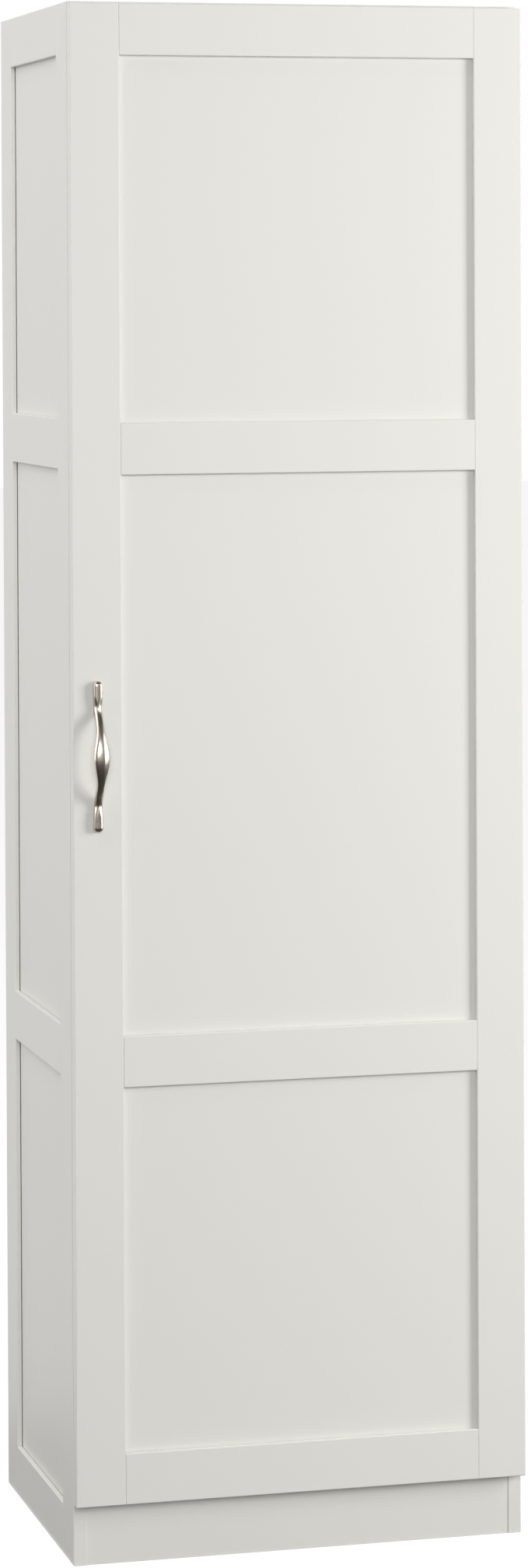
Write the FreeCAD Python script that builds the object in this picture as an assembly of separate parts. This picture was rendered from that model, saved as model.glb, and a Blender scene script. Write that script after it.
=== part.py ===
import FreeCAD, Part
import math
import os

# A tall broom cupboard: a board carcass with frame-and-panel sides, one frame-and-panel door on
# concealed cup hinges, a tall broom bay beside a narrow bay of loose shelves, and a bowed pull handle.
# Millimetres. +X is right as seen from the front, +Y goes back to the wall, +Z is up from the floor.

# Overall sizes
width = 540.0
height = 1800.0
carcass_depth = 381.0
board_thickness = 16.0

# Door and its place in front of the carcass
door_gap = 3.0
door_top_reveal = 3.0
door_floor_clearance = 72.0

# Frame-and-panel work, the same on the door and the sides
stile_width = 58.0
rail_width = 59.0
middle_opening = 645.0
panel_thickness = 4.0
groove_depth = 8.0
panel_shadow_gap = 1.0
panel_float = 1.0
tongue_clearance = 0.1
arris_radius = 1.2
rail_end_arris = 0.5
side_rail_lift = 5.0

# Kick board and back
kick_height = 76.0
kick_setback = 1.0
back_thickness = 3.0
back_inset = 1.0
back_rabbet_width = 8.0
nail_radius = 0.8
nail_length = 18.0
nail_head_radius = 2.0
nail_head_thickness = 0.6
nail_pitch = 150.0
nail_row_end = 40.0
nail_column_end = 25.0

# Fixing rail with its two wall screw holes
fixing_rail_height = 80.0
wall_hole_radius = 3.0
wall_hole_spacing = 300.0

# Inside boards
top_bay_height = 328.0
shelf_bay_width = 190.0
inside_setback = 10.0
loose_shelf_setback = 25.0
loose_shelf_count = 3
loose_shelf_clearance = 1.0

# Shelf pins and their rows of holes
pin_hole_row = 37.0
pin_hole_pitch = 32.0
pin_radius = 2.5
pin_hole_depth = 9.0
pin_shank_length = 8.5
pin_tab_length = 7.0
pin_tab_width = 8.0
pin_tab_thickness = 2.0
shelf_rest_gap = 0.1

# Knock-down fittings of the fixed boards
cam_radius = 7.5
cam_height = 12.0
cam_distance = 24.0
cam_bolt_radius = 3.0
cam_bolt_reach = 3.0
cam_thread_radius = 2.5
cam_thread_length = 11.0
fitting_row = 24.0
dowel_row = 42.0
dowel_radius = 4.0
dowel_length = 30.0
dowel_in_side = 10.0
dowel_spread = 30.0
fitting_clearance = 0.05

# Concealed hinges
hinge_count = 4
hinge_end_distance = 105.0
cup_radius = 17.5
cup_edge_distance = 3.0
cup_wall = 0.8
cup_seat_clearance = 0.1
flange_thickness = 1.0
flange_half_height = 29.0
flange_reach = 19.0
flange_stop = 1.5
cup_screw_offset = 9.5
cup_screw_half_spacing = 22.5
hinge_pin_radius = 1.0
hinge_pin_edge_distance = 7.5
hinge_pin_hold = 0.02
hinge_pin_running = 0.05
hinge_eye_wall = 0.85
hinge_eye_floor_gap = 0.3
hinge_swing_room = 1.0
arm_thickness = 2.0
arm_half_width = 6.0
arm_reach = 62.0
arm_screw_distance = 53.0
plate_thickness = 2.0
plate_start = 22.0
plate_screw_row = 37.0
plate_screw_half_spacing = 16.0
plate_wing_half_height = 21.0
plate_wing_half_width = 7.0
small_screw_radius = 1.75
small_screw_head_radius = 3.5
small_screw_head_thickness = 1.2
small_screw_depth = 10.0

# Door bumpers
bumper_radius = 4.0
bumper_air = 0.3
bumper_end_distance = 45.0

# Handle
handle_height = 934.7
handle_inset = 28.4
handle_length = 174.0
handle_hole_spacing = 128.0
handle_end_stand_off = 3.8
handle_bow = 22.0
handle_steepest_distance = 46.0
handle_screw_margin = 7.0
handle_waist_distance = 36.0
handle_end_half_width = 5.6
handle_waist_half_width = 4.3
handle_middle_half_width = 10.0
handle_half_thickness = 4.6
handle_screw_radius = 2.0
handle_screw_hole_radius = 2.3
handle_screw_grip = 6.0
handle_screw_head_radius = 4.0
handle_screw_head_thickness = 2.2

# Places worked out from the sizes
handle_projection = handle_end_stand_off + handle_bow + handle_half_thickness
total_depth = handle_projection + board_thickness + door_gap + carcass_depth
door_front = -total_depth / 2 + handle_projection
door_back = door_front + board_thickness
carcass_front = door_back + door_gap
carcass_rear = carcass_front + carcass_depth
back_front = carcass_rear - back_inset - back_thickness
outer = width / 2
inner = outer - board_thickness
door_low = door_floor_clearance
door_high = height - door_top_reveal
outer_opening = (door_high - door_low - 4 * rail_width - middle_opening) / 2
lower_rail_low = door_low + rail_width + outer_opening
upper_rail_low = lower_rail_low + rail_width + middle_opening
groove_width = panel_thickness + panel_shadow_gap
groove_front = (board_thickness - groove_width) / 2
bottom_top = kick_height + board_thickness
top_low = height - board_thickness
upper_shelf_top = top_low - top_bay_height
upper_shelf_low = upper_shelf_top - board_thickness
divider_left = -inner + shelf_bay_width
divider_right = divider_left + board_thickness
inside_front = carcass_front + inside_setback

nodes = {}


def block(x, y, z):
    """A box between three pairs of limits."""
    corner = FreeCAD.Vector(x[0], y[0], z[0])
    return Part.makeBox(x[1] - x[0], y[1] - y[0], z[1] - z[0], corner)


def rod(radius, start, direction, length):
    """A round bar of some length from a start point along a direction."""
    return Part.makeCylinder(radius, length, FreeCAD.Vector(*start), FreeCAD.Vector(*direction))


def drill(node, tools):
    """Cut all the tools out of a node at once."""
    nodes[node] = nodes[node].cut(tools)


def soften(shape, radius, face_axis, face_places, edge_axes):
    """Round the edges that lie in the given faces and run along the given axes."""
    picked = []
    for edge in shape.Edges:
        ends = [vertex.Point for vertex in edge.Vertexes]
        run = ends[1] - ends[0]
        along = max(range(3), key=lambda axis: abs(run[axis]))
        for place in face_places:
            if along in edge_axes and all(abs(end[face_axis] - place) < 1e-6 for end in ends):
                picked.append(edge)
    return shape.makeFillet(radius, picked)


def stile(start, low, high, groove_on_right):
    """An upright with a groove along one edge, its faces' outlines rounded."""
    body = block((start, start + stile_width), (0, board_thickness), (low, high))
    body = soften(body, arris_radius, 1, (0, board_thickness), (0, 2))
    groove_start = start + stile_width - groove_depth if groove_on_right else start
    groove = block(
        (groove_start, groove_start + groove_depth), (groove_front, groove_front + groove_width), (low, high)
    )
    return body.cut(groove)


def rail(start, end, low, grooves):
    """A cross piece with stub tongues at its ends and a groove along each edge that holds a panel."""
    high = low + rail_width
    body = block((start, end), (0, board_thickness), (low, high))
    body = soften(body, rail_end_arris, 1, (0, board_thickness), (2,))
    body = soften(body, arris_radius, 1, (0, board_thickness), (0,))
    reach = groove_depth - panel_float
    tongue_faces = (groove_front + tongue_clearance, groove_front + groove_width - tongue_clearance)
    body = body.fuse(block((start - reach, end + reach), tongue_faces, (low, high)))
    for edge in grooves:
        groove_low = high - groove_depth if edge == "top" else low
        groove = block(
            (start - groove_depth, end + groove_depth),
            (groove_front, groove_front + groove_width),
            (groove_low, groove_low + groove_depth),
        )
        body = body.cut(groove)
    return body.removeSplitter()


def frame_and_panel(prefix, stile_names, frame_width, low, high, rail_lows, turn, corner):
    """Two stiles, four rails and three floating panels, made facing -Y and then turned into place."""
    start = stile_width
    end = frame_width - stile_width
    pieces = {
        stile_names[0]: stile(0, low, high, True),
        stile_names[1]: stile(end, low, high, False),
    }
    rail_names = ("bottom", "lower", "upper", "top")
    rail_grooves = (("top",), ("low", "top"), ("low", "top"), ("low",))
    for name, rail_low, grooves in zip(rail_names, rail_lows, rail_grooves):
        pieces["rail_" + name] = rail(start, end, rail_low, grooves)
    reach = groove_depth - panel_float
    panel_faces = (groove_front + panel_shadow_gap, groove_front + groove_width)
    for index, name in enumerate(("lower", "middle", "upper")):
        panel_low = rail_lows[index] + rail_width - reach
        panel_high = rail_lows[index + 1] + reach
        pieces["panel_" + name] = block((start - reach, end + reach), panel_faces, (panel_low, panel_high))
    for name, piece in pieces.items():
        piece.rotate(FreeCAD.Vector(0, 0, 0), FreeCAD.Vector(0, 0, 1), turn)
        piece.translate(FreeCAD.Vector(*corner))
        nodes[prefix + "_" + name] = piece


# Door and sides
door_rail_lows = (door_low, lower_rail_low, upper_rail_low, door_high - rail_width)
frame_and_panel(
    "door", ("handle_stile", "hinge_stile"), width, door_low, door_high, door_rail_lows,
    0, (-outer, door_front, 0),
)
side_rail_lows = (0, lower_rail_low + side_rail_lift, upper_rail_low + side_rail_lift, height - rail_width)
frame_and_panel(
    "left", ("rear_stile", "front_stile"), carcass_depth, 0, height, side_rail_lows,
    -90, (-outer, carcass_rear, 0),
)
frame_and_panel(
    "right", ("front_stile", "rear_stile"), carcass_depth, 0, height, side_rail_lows,
    90, (outer, carcass_front, 0),
)

# Fixed boards between the sides
across = (-inner, inner)
full_depth = (carcass_front, back_front)
nodes["top_board"] = block(across, full_depth, (top_low, height))
nodes["bottom_board"] = block(across, full_depth, (kick_height, bottom_top))
kick_front = carcass_front + kick_setback
nodes["kick_board"] = block(across, (kick_front, kick_front + board_thickness), (0, kick_height))
nodes["upper_shelf"] = block(across, (inside_front, back_front), (upper_shelf_low, upper_shelf_top))
nodes["divider"] = block(
    (divider_left, divider_right), (inside_front, back_front), (bottom_top, upper_shelf_low)
)

# Fixing rail under the top board, with the wall screw holes through it and the back
fixing_rail_faces = (back_front - board_thickness, back_front)
fixing_rail_low = top_low - fixing_rail_height
nodes["fixing_rail"] = block(across, fixing_rail_faces, (fixing_rail_low, top_low))
wall_hole_level = top_low - fixing_rail_height / 2
wall_holes = []
for side in (-1, 1):
    hole_start = (side * wall_hole_spacing / 2, fixing_rail_faces[0], wall_hole_level)
    wall_holes.append(rod(wall_hole_radius, hole_start, (0, 1, 0), board_thickness + back_thickness))
drill("fixing_rail", wall_holes)

# Back board, let into rabbets in the rear stiles and nailed to every edge behind it
rabbet_outer = inner + back_rabbet_width
back_faces = (back_front, back_front + back_thickness)
nodes["back_board"] = block((-rabbet_outer, rabbet_outer), back_faces, (kick_height, height))
drill("back_board", wall_holes)
for node, side in (("left_rear_stile", -1), ("right_rear_stile", 1)):
    rabbet_x = sorted((side * inner, side * rabbet_outer))
    drill(node, [block(rabbet_x, (back_front, carcass_rear), (kick_height, height))])


def nail(x, z):
    """One nail driven forward through the back board, and the hole that it makes."""
    head_start = back_faces[1]
    shank = rod(nail_radius, (x, head_start, z), (0, -1, 0), nail_length)
    head = rod(nail_head_radius, (x, head_start, z), (0, 1, 0), nail_head_thickness)
    hole = rod(nail_radius + fitting_clearance, (x, head_start, z), (0, -1, 0), nail_length)
    return shank.fuse(head), hole


def spread(low, high, pitch):
    """Places from low to high, evenly spaced at about the pitch."""
    count = max(2, round((high - low) / pitch) + 1)
    return [low + (high - low) * index / (count - 1) for index in range(count)]


nails = []
nail_levels = spread(kick_height + nail_column_end, height - nail_column_end, nail_pitch)
for node, side in (("left_rear_stile", -1), ("right_rear_stile", 1)):
    holes = []
    for level in nail_levels:
        solid, hole = nail(side * (inner + back_rabbet_width / 2), level)
        nails.append(solid)
        holes.append(hole)
    drill(node, holes)
    drill("back_board", holes)
nail_rows = (
    ("bottom_board", kick_height + board_thickness / 2),
    ("upper_shelf", upper_shelf_low + board_thickness / 2),
    ("top_board", top_low + board_thickness / 2),
)
for node, level in nail_rows:
    holes = []
    for x in spread(nail_row_end - inner, inner - nail_row_end, nail_pitch):
        solid, hole = nail(x, level)
        nails.append(solid)
        holes.append(hole)
    drill(node, holes)
    drill("back_board", holes)
nodes["back_nails"] = Part.makeCompound(nails)

# Cam locks, their bolts and the dowels at both ends of each fixed board
cams = []
bolts = []
dowels = []
side_rows = (
    (("left_front_stile", "right_front_stile"), carcass_front, 1),
    (("left_rear_stile", "right_rear_stile"), carcass_rear, -1),
)


def end_dowel(node, stile_node, side, y, z):
    """A dowel from a board's end into a stile, with its hole in both."""
    start = (side * (inner + dowel_in_side), y, z)
    dowels.append(rod(dowel_radius, start, (-side, 0, 0), dowel_length))
    hole = rod(dowel_radius + fitting_clearance, start, (-side, 0, 0), dowel_length)
    drill(node, [hole])
    drill(stile_node, [hole])


def cam_joint(node, stile_node, side, y, low):
    """A cam lock in a board's underside and the bolt that it pulls, screwed into a stile."""
    middle = low + board_thickness / 2
    cam_x = side * (inner - cam_distance)
    shank_length = cam_distance + cam_bolt_reach
    shank_start = (side * inner, y, middle)
    inward = (-side, 0, 0)
    outward = (side, 0, 0)
    thread = rod(cam_thread_radius, shank_start, outward, cam_thread_length)
    bolts.append(rod(cam_bolt_radius, shank_start, inward, shank_length).fuse(thread))
    bolt_hole = rod(cam_bolt_radius + fitting_clearance, shank_start, inward, shank_length)
    thread_hole = rod(cam_thread_radius + fitting_clearance, shank_start, outward, cam_thread_length)
    cams.append(rod(cam_radius, (cam_x, y, low), (0, 0, 1), cam_height).cut(bolt_hole))
    cam_hole = rod(cam_radius + fitting_clearance, (cam_x, y, low), (0, 0, 1), cam_height)
    drill(node, [bolt_hole, cam_hole])
    drill(stile_node, [thread_hole])


board_lows = (("top_board", top_low), ("bottom_board", kick_height), ("upper_shelf", upper_shelf_low))
for stiles, edge, inward_y in side_rows:
    for stile_node, side in zip(stiles, (-1, 1)):
        for node, low in board_lows:
            cam_joint(node, stile_node, side, edge + inward_y * fitting_row, low)
            end_dowel(node, stile_node, side, edge + inward_y * dowel_row, low + board_thickness / 2)
for index, side in enumerate((-1, 1)):
    for step in (-0.5, 0.5):
        kick_level = kick_height / 2 + step * dowel_spread
        end_dowel("kick_board", side_rows[0][0][index], side, kick_front + board_thickness / 2, kick_level)
        rail_level = wall_hole_level + step * dowel_spread
        end_dowel("fixing_rail", side_rows[1][0][index], side, back_front - board_thickness / 2, rail_level)

# Upright dowels at the divider's foot and head
divider_middle = (divider_left + divider_right) / 2
for y in (inside_front + dowel_row, back_front - dowel_row):
    for node, level, up in (("bottom_board", bottom_top, 1), ("upper_shelf", upper_shelf_low, -1)):
        start = (divider_middle, y, level - up * dowel_in_side)
        dowels.append(rod(dowel_radius, start, (0, 0, up), dowel_length))
        hole = rod(dowel_radius + fitting_clearance, start, (0, 0, up), dowel_length)
        drill(node, [hole])
        drill("divider", [hole])
nodes["cam_locks"] = Part.makeCompound(cams)
nodes["cam_bolts"] = Part.makeCompound(bolts)
nodes["dowels"] = Part.makeCompound(dowels)

# Loose shelves, evenly spaced in the narrow bay, each on four pins
shelf_names = ("lower", "middle", "upper", "fourth", "fifth")[:loose_shelf_count]
shelf_step = (upper_shelf_low - bottom_top - loose_shelf_count * board_thickness) / (loose_shelf_count + 1)
shelf_x = (-inner + loose_shelf_clearance, divider_left - loose_shelf_clearance)
shelf_y = (carcass_front + loose_shelf_setback, back_front - loose_shelf_clearance)
pin_rows = (
    ("left_front_stile", carcass_front + pin_hole_row),
    ("left_rear_stile", carcass_rear - pin_hole_row),
)
pins = []


def shelf_pin(face_x, into, y, shelf_low):
    """A round shank in the wall and a flat tab under the shelf."""
    level = shelf_low - shelf_rest_gap - pin_tab_thickness / 2
    shank = rod(pin_radius - fitting_clearance, (face_x, y, level), (into, 0, 0), pin_shank_length)
    tab_x = sorted((face_x, face_x - into * pin_tab_length))
    half_tab = pin_tab_thickness / 2
    tab_y = (y - pin_tab_width / 2, y + pin_tab_width / 2)
    tab = block(tab_x, tab_y, (level - half_tab, level + half_tab))
    return shank.fuse(tab)


for index, name in enumerate(shelf_names):
    shelf_low = bottom_top + (index + 1) * shelf_step + index * board_thickness
    shelf_z = (shelf_low, shelf_low + board_thickness)
    nodes["shelf_" + name] = block(shelf_x, shelf_y, shelf_z)
    first_level = shelf_low - shelf_rest_gap - pin_tab_thickness / 2
    for stile_node, y in pin_rows:
        for wall, face_x, into in ((stile_node, -inner, -1), ("divider", divider_left, 1)):
            pins.append(shelf_pin(face_x, into, y, shelf_low))
            holes = []
            for step in (-1, 0, 1):
                hole_start = (face_x, y, first_level + step * pin_hole_pitch)
                holes.append(rod(pin_radius, hole_start, (into, 0, 0), pin_hole_depth))
            drill(wall, holes)
nodes["shelf_pins"] = Part.makeCompound(pins)

# Concealed hinges. The pin stands inside the cup, and the cranked arm reaches it past the side's edge.
hinge_pin_depth = board_thickness + plate_thickness - hinge_pin_edge_distance - hinge_swing_room
hinge_eye_radius = hinge_pin_radius + hinge_pin_running + hinge_eye_wall
cup_depth = hinge_pin_depth + hinge_eye_radius + hinge_eye_floor_gap + cup_wall
cup_x = outer - cup_edge_distance - cup_radius
hinge_pin_x = outer - hinge_pin_edge_distance
hinge_pin_y = door_back - hinge_pin_depth
pin_far_side = hinge_pin_x - cup_x + hinge_pin_radius
hinge_pin_half_length = math.sqrt(cup_radius ** 2 - pin_far_side ** 2)
plate_face = inner - plate_thickness
arm_face = plate_face - arm_thickness
cups = []
hinge_pins = []
arms = []
plates = []
cup_screws = []
plate_screws = []
arm_screws = []


def small_screw(start, inward, depth):
    """A pan head on a surface and a shank below it, and the hole for that shank."""
    outward = tuple(-part for part in inward)
    head = rod(small_screw_head_radius, start, outward, small_screw_head_thickness)
    shank = rod(small_screw_radius, start, inward, depth)
    hole = rod(small_screw_radius + fitting_clearance, start, inward, depth)
    return head.fuse(shank), hole


def hinge(level):
    """One cup hinge at a height, with the holes that it needs in the door and the side."""
    pin_start = (hinge_pin_x, hinge_pin_y, level - hinge_pin_half_length)
    pin_length = 2 * hinge_pin_half_length
    hinge_pins.append(rod(hinge_pin_radius, pin_start, (0, 0, 1), pin_length))

    cup_start = (cup_x, door_back - cup_depth, level)
    shell = rod(cup_radius, cup_start, (0, 1, 0), cup_depth)
    flange = block(
        (cup_x - flange_reach, cup_x - flange_stop),
        (door_back, door_back + flange_thickness),
        (level - flange_half_height, level + flange_half_height),
    )
    hollow_start = (cup_x, door_back - cup_depth + cup_wall, level)
    hollow = rod(cup_radius - cup_wall, hollow_start, (0, 1, 0), cup_depth + flange_thickness)
    pin_hole = rod(hinge_pin_radius + hinge_pin_hold, pin_start, (0, 0, 1), pin_length)
    cup = shell.fuse(flange).cut([hollow, pin_hole])
    seat_radius = cup_radius + cup_seat_clearance
    seat = rod(seat_radius, (cup_x, door_back, level), (0, -1, 0), cup_depth + cup_seat_clearance)
    drill("door_hinge_stile", [seat])
    for step in (-1, 1):
        screw_start = (
            cup_x - cup_screw_offset, door_back + flange_thickness, level + step * cup_screw_half_spacing
        )
        screw, hole = small_screw(screw_start, (0, -1, 0), flange_thickness + small_screw_depth)
        cup_screws.append(screw)
        cup = cup.cut(hole)
        drill("door_hinge_stile", [hole])
    cups.append(cup)

    arm_z = (level - arm_half_width, level + arm_half_width)
    arm_width = 2 * arm_half_width
    half_arm = arm_thickness / 2
    leg = block((arm_face, plate_face), (hinge_pin_y - half_arm, carcass_front + arm_reach), arm_z)
    crank = block((arm_face, hinge_pin_x), (hinge_pin_y - half_arm, hinge_pin_y + half_arm), arm_z)
    eye_start = (hinge_pin_x, hinge_pin_y, arm_z[0])
    eye = rod(hinge_eye_radius, eye_start, (0, 0, 1), arm_width)
    bore = rod(hinge_pin_radius + hinge_pin_running, eye_start, (0, 0, 1), arm_width)
    arm = leg.fuse([crank, eye]).cut(bore)

    wing_y = carcass_front + plate_screw_row
    wing = block(
        (plate_face, inner),
        (wing_y - plate_wing_half_width, wing_y + plate_wing_half_width),
        (level - plate_wing_half_height, level + plate_wing_half_height),
    )
    strip = block((plate_face, inner), (carcass_front + plate_start, carcass_front + arm_reach), arm_z)
    plate = wing.fuse(strip)
    for step in (-1, 1):
        screw_start = (plate_face, wing_y, level + step * plate_screw_half_spacing)
        screw, hole = small_screw(screw_start, (1, 0, 0), plate_thickness + small_screw_depth)
        plate_screws.append(screw)
        plate = plate.cut(hole)
        drill("right_front_stile", [hole])
    arm_screw_start = (arm_face, carcass_front + arm_screw_distance, level)
    screw, hole = small_screw(arm_screw_start, (1, 0, 0), arm_thickness + plate_thickness)
    arm_screws.append(screw)
    arms.append(arm.cut(hole))
    plates.append(plate.cut(hole))


hinge_low = door_low + hinge_end_distance
hinge_step = (door_high - door_low - 2 * hinge_end_distance) / (hinge_count - 1)
for index in range(hinge_count):
    hinge(hinge_low + index * hinge_step)
nodes["hinge_cups"] = Part.makeCompound(cups)
nodes["hinge_pins"] = Part.makeCompound(hinge_pins)
nodes["hinge_arms"] = Part.makeCompound(arms)
nodes["hinge_plates"] = Part.makeCompound(plates)
nodes["hinge_cup_screws"] = Part.makeCompound(cup_screws)
nodes["hinge_plate_screws"] = Part.makeCompound(plate_screws)
nodes["hinge_arm_screws"] = Part.makeCompound(arm_screws)

# Soft bumpers on the left side's front edge, where the door comes to rest
bumpers = []
for level in (door_low + bumper_end_distance, door_high - bumper_end_distance):
    bumper_start = (-outer + board_thickness / 2, carcass_front, level)
    bumpers.append(rod(bumper_radius, bumper_start, (0, -1, 0), door_gap - bumper_air))
nodes["door_bumpers"] = Part.makeCompound(bumpers)

# Handle: a bar whose ends lie flat on the door. From them it climbs steeply through two narrow waists
# and bows out to a wide middle
handle_x = -outer + handle_inset
half_length = handle_length / 2
half_spacing = handle_hole_spacing / 2
handle_foot = half_spacing - handle_screw_margin


def smooth(start, end, place):
    """A gentle step from 0 to 1 between two places."""
    share = min(1.0, max(0.0, (place - start) / (end - start)))
    return share * share * (3 - 2 * share)


def bow_share(distance):
    """Share of the bow at a distance from the middle: two parabolas that meet at the steepest place."""
    if distance < handle_steepest_distance:
        return 1 - distance * distance / (handle_steepest_distance * handle_foot)
    rest = max(0.0, handle_foot - distance)
    return rest * rest / ((handle_foot - handle_steepest_distance) * handle_foot)


def handle_section(place):
    """Stand-off from the door, half width and half thickness at a distance from the handle's middle."""
    distance = abs(place)
    stand_off = handle_end_stand_off + handle_bow * bow_share(distance)
    width_in = smooth(0, handle_waist_distance, distance)
    width_out = smooth(handle_waist_distance, half_length, distance)
    half_width = handle_middle_half_width
    half_width += (handle_waist_half_width - handle_middle_half_width) * width_in
    half_width += (handle_end_half_width - handle_waist_half_width) * width_out
    return stand_off, half_width, handle_half_thickness


def handle_ring(place, share):
    """An upright section's outline, drawn in by a share of its size towards the rounded ends."""
    stand_off, half_width, half_thickness = handle_section(place)
    centre = FreeCAD.Vector(handle_x, door_front - stand_off, handle_height + place)
    across_x = half_width * share
    through_y = half_thickness * share
    if across_x >= through_y:
        tips = (FreeCAD.Vector(across_x, 0, 0), FreeCAD.Vector(0, through_y, 0))
    else:
        tips = (FreeCAD.Vector(0, through_y, 0), FreeCAD.Vector(across_x, 0, 0))
    return Part.Wire(Part.Ellipse(centre + tips[0], centre + tips[1], centre).toShape())


ring_count = 41
end_turns = (80, 60, 35)
end_round = handle_end_half_width
straight_length = handle_length - 2 * end_round
rings = []
for turn in end_turns:
    place = -straight_length / 2 - end_round * math.sin(math.radians(turn))
    rings.append(handle_ring(place, math.cos(math.radians(turn))))
for index in range(ring_count):
    rings.append(handle_ring(-straight_length / 2 + straight_length * index / (ring_count - 1), 1.0))
for turn in reversed(end_turns):
    place = straight_length / 2 + end_round * math.sin(math.radians(turn))
    rings.append(handle_ring(place, math.cos(math.radians(turn))))
seat_x = (handle_x - handle_middle_half_width, handle_x + handle_middle_half_width)
seat_z = (handle_height - half_length, handle_height + half_length)
handle = Part.makeLoft(rings, True).cut(block(seat_x, (door_front, door_back), seat_z))
handle_screws = []
for side in (-1, 1):
    level = handle_height + side * half_spacing
    shank_start = (handle_x, door_back, level)
    shank_length = board_thickness + handle_screw_grip
    shank = rod(handle_screw_radius, shank_start, (0, -1, 0), shank_length)
    head = rod(handle_screw_head_radius, shank_start, (0, 1, 0), handle_screw_head_thickness)
    handle_screws.append(shank.fuse(head))
    handle = handle.cut(rod(handle_screw_radius + fitting_clearance, shank_start, (0, -1, 0), shank_length))
    drill("door_handle_stile", [rod(handle_screw_hole_radius, shank_start, (0, -1, 0), board_thickness)])
nodes["handle"] = handle
nodes["handle_screws"] = Part.makeCompound(handle_screws)

os.makedirs("parts", exist_ok=True)
for name, shape in nodes.items():
    shape.exportStep("parts/" + name + ".step")
    print(name, len(shape.Solids), "solid(s)", "valid" if shape.isValid() else "NOT VALID")
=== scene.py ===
import math
import bmesh
import bpy
import numpy as np
from mathutils import Matrix, Vector


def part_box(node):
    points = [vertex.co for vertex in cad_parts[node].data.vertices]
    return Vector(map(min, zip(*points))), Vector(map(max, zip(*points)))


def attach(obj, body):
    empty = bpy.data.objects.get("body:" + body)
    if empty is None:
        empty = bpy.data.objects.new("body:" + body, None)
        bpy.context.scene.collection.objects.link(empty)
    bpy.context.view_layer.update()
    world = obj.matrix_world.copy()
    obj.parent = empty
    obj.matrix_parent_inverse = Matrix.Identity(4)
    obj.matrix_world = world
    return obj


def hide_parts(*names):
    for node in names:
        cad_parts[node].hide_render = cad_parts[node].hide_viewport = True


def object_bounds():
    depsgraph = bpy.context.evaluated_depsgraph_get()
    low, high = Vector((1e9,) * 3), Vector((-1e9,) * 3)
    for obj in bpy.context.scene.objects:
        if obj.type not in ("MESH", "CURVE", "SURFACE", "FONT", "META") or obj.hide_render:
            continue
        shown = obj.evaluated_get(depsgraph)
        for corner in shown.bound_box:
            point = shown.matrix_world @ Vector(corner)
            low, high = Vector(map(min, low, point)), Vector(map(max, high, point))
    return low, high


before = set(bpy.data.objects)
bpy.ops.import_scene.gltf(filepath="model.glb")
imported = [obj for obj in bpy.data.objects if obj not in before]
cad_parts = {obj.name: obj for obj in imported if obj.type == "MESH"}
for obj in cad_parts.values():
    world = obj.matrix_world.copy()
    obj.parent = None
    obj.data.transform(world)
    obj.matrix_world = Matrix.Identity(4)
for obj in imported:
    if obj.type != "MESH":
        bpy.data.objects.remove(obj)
cad_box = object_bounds()

# Sides
# Each side is a frame of two stiles and four rails round three thin floating panels, of fibreboard
# under off-white satin paint. The rails' stub tongues are glued into the stiles' grooves, and the
# sides stand on the floor.
paint_colour = (0.82, 0.812, 0.772, 1.0)
paint_roughness = 0.50
paint_gloss = 0.35
peel_cells_per_metre = 420.0
peel_height = 0.000018
paint_drift_per_metre = 3.0
paint_drift = 0.012
paint_sheen_change = 0.05


def put(tree, kind, inputs, **settings):
    """Adds a node. Settings are its properties, and inputs are its sockets by name or number, each a value
    or a link."""
    made = tree.nodes.new(kind)
    for key, value in settings.items():
        setattr(made, key, value)
    for key, value in inputs.items():
        if isinstance(value, bpy.types.NodeSocket):
            tree.links.new(value, made.inputs[key])
        else:
            made.inputs[key].default_value = value
    return made


def work_out(tree, operation, first, second=0.0):
    """The result of a Math node from one or two values or links."""
    return put(tree, "ShaderNodeMath", {0: first, 1: second}, operation=operation).outputs[0]


def start_group(name, inputs, outputs):
    """An empty shader node group with named sockets: the tree, its input sockets and its output node."""
    tree = bpy.data.node_groups.new(name, "ShaderNodeTree")
    for label, kind, value in inputs:
        tree.interface.new_socket(label, in_out="INPUT", socket_type=kind).default_value = value
    for label, kind in outputs:
        tree.interface.new_socket(label, in_out="OUTPUT", socket_type=kind)
    return tree, tree.nodes.new("NodeGroupInput").outputs, tree.nodes.new("NodeGroupOutput")


def start_finish(name, roughness, metallic=0.0):
    """A material with one Principled shader: the material, its node tree and the shader."""
    finish = bpy.data.materials.new(name)
    finish.use_nodes = True
    shader = finish.node_tree.nodes["Principled BSDF"]
    shader.inputs["Roughness"].default_value = roughness
    shader.inputs["Metallic"].default_value = metallic
    return finish, finish.node_tree, shader


def dress(finish, *names):
    """Gives carried-over pieces a finish."""
    for name in names:
        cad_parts[name].material_slots[0].material = finish


# Slow drift of tone over a surface: noise on Object coordinates lightens and darkens a colour a little.
tone_drift, given, handed = start_group(
    "tone drift",
    [
        ("Colour", "NodeSocketColor", (0.8, 0.8, 0.8, 1.0)),
        ("Patches per metre", "NodeSocketFloat", 3.0),
        ("Amount", "NodeSocketFloat", 0.02),
    ],
    [("Colour", "NodeSocketColor"), ("Mask", "NodeSocketFloat")],
)
place = put(tone_drift, "ShaderNodeTexCoord", {})
patches = put(
    tone_drift, "ShaderNodeTexNoise",
    {"Vector": place.outputs["Object"], "Scale": given["Patches per metre"], "Detail": 3.0},
)
swing = work_out(tone_drift, "SUBTRACT", patches.outputs["Fac"], 0.5)
share = work_out(tone_drift, "MULTIPLY", swing, given["Amount"])
gain = work_out(tone_drift, "ADD", share, 1.0)
tinted = put(tone_drift, "ShaderNodeVectorMath", {0: given["Colour"], 1: gain}, operation="MULTIPLY")
tone_drift.links.new(tinted.outputs[0], handed.inputs["Colour"])
tone_drift.links.new(patches.outputs["Fac"], handed.inputs["Mask"])

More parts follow.
